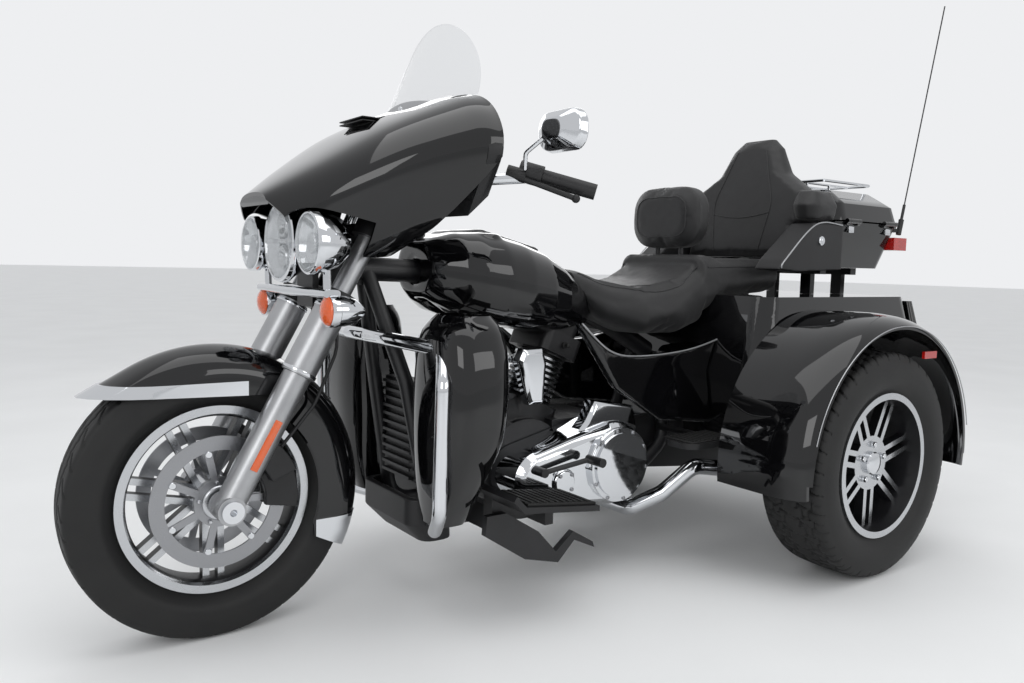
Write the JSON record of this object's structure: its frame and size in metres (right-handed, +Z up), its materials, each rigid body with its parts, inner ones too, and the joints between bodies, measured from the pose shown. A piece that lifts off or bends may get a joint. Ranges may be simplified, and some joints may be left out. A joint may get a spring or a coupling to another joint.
{
  "type": "touring motor trike",
  "caption": "Three-wheeled touring motorcycle with a fork-mounted fairing, V-twin engine, two-up saddle, luggage box and a lockable trunk between the rear wheels.",
  "frame": {"origin": "middle of the vehicle's length and width, on the floor that the tyres stand on", "axes": "+X forward to the front wheel, +Y to the rider's left, +Z up"},
  "size_m": [2.8461, 1.426, 1.8305],
  "materials": {
    "gloss_black": "gloss",
    "frame_black": "satin",
    "engine_black": "satin wrinkle",
    "chrome": "mirror",
    "cast_aluminium": "machined and clear coated",
    "disc_steel": "ground",
    "black_plastic": "moulded",
    "saddle_leather": "grained vinyl",
    "rubber": "moulded",
    "tyre": "moulded",
    "clear_screen": "clear",
    "red_lens": "clear over red"
  },
  "bodies": {
    "chassis": {"frame_tubes": "frame_black", "engine_cases": "engine_black", "cylinders": "engine_black", "primary_cover": "chrome", "right_covers": "chrome", "air_cleaner": "chrome", "horn_cover": "chrome", "oil_cooler": "engine_black", "chin_spoiler": "black_plastic", "lower_fairings": "gloss_black", "engine_guard": "chrome", "fuel_tank": "gloss_black", "seat": "saddle_leather", "rider_backrest": "saddle_leather", "rider_backrest_posts": "frame_black", "passenger_backrest": "saddle_leather", "tour_box": "gloss_black", "armrests": "black_plastic", "antenna": "black_plastic", "side_covers": "gloss_black", "rear_body": "gloss_black", "rear_fenders": "gloss_black", "rear_axle": "frame_black", "drive_belt": "rubber", "exhausts": "chrome", "rider_footboards": "rubber", "passenger_footboards": "rubber", "foot_controls": "frame_black", "rear_lamps": "red_lens", "box_mount": "frame_black"},
    "steering": {"fork_legs": "cast_aluminium", "fork_covers": "cast_aluminium", "fork_clamps": "frame_black", "front_axle": "chrome", "front_calipers": "black_plastic", "front_fender": "gloss_black", "fender_trim": "chrome", "fairing": "gloss_black", "inner_fairing": "black_plastic", "windshield": "clear_screen", "headlamp": "chrome", "front_lamps": "chrome", "handlebar": "chrome", "hand_controls": "black_plastic", "mirrors": "chrome"},
    "front_wheel": {"front_tyre": "tyre", "front_rim": "cast_aluminium", "front_discs": "disc_steel"},
    "rear_wheel_left": {"rear_tyre_left": "tyre", "rear_rim_left": "cast_aluminium"},
    "rear_wheel_right": {"rear_tyre_right": "tyre", "rear_rim_right": "cast_aluminium"},
    "box_lid": {"tour_box_lid": "gloss_black", "luggage_rack": "chrome"},
    "trunk_door": {"trunk_door": "gloss_black", "plate_bracket": "frame_black"}
  },
  "joints": [
    {"name": "steering", "type": "hinge", "parent": "chassis", "child": "steering", "pos_m": [0.78943, 0, 0.85], "axis": [-0.4384, 0, 0.8988], "range_deg": [-30, 30]},
    {"name": "front_wheel_spin", "type": "hinge", "parent": "steering", "child": "front_wheel", "pos_m": [1.104, 0, 0.318], "axis": [0, 1, 0], "continuous": true},
    {"name": "rear_wheel_left_spin", "type": "hinge", "parent": "chassis", "child": "rear_wheel_left", "pos_m": [-0.566, 0.576, 0.324], "axis": [0, 1, 0], "continuous": true},
    {"name": "rear_wheel_right_spin", "type": "hinge", "parent": "chassis", "child": "rear_wheel_right", "pos_m": [-0.566, -0.576, 0.324], "axis": [0, 1, 0], "continuous": true},
    {"name": "box_lid_hinge", "type": "hinge", "parent": "chassis", "child": "box_lid", "pos_m": [-1.016, 0.305, 1.0345], "axis": [-1, 0, 0], "range_deg": [0, 85]},
    {"name": "trunk_door_hinge", "type": "hinge", "parent": "chassis", "child": "trunk_door", "pos_m": [-1.173, 0, 0.362], "axis": [0, -1, 0], "range_deg": [0, 90]}
  ]
}
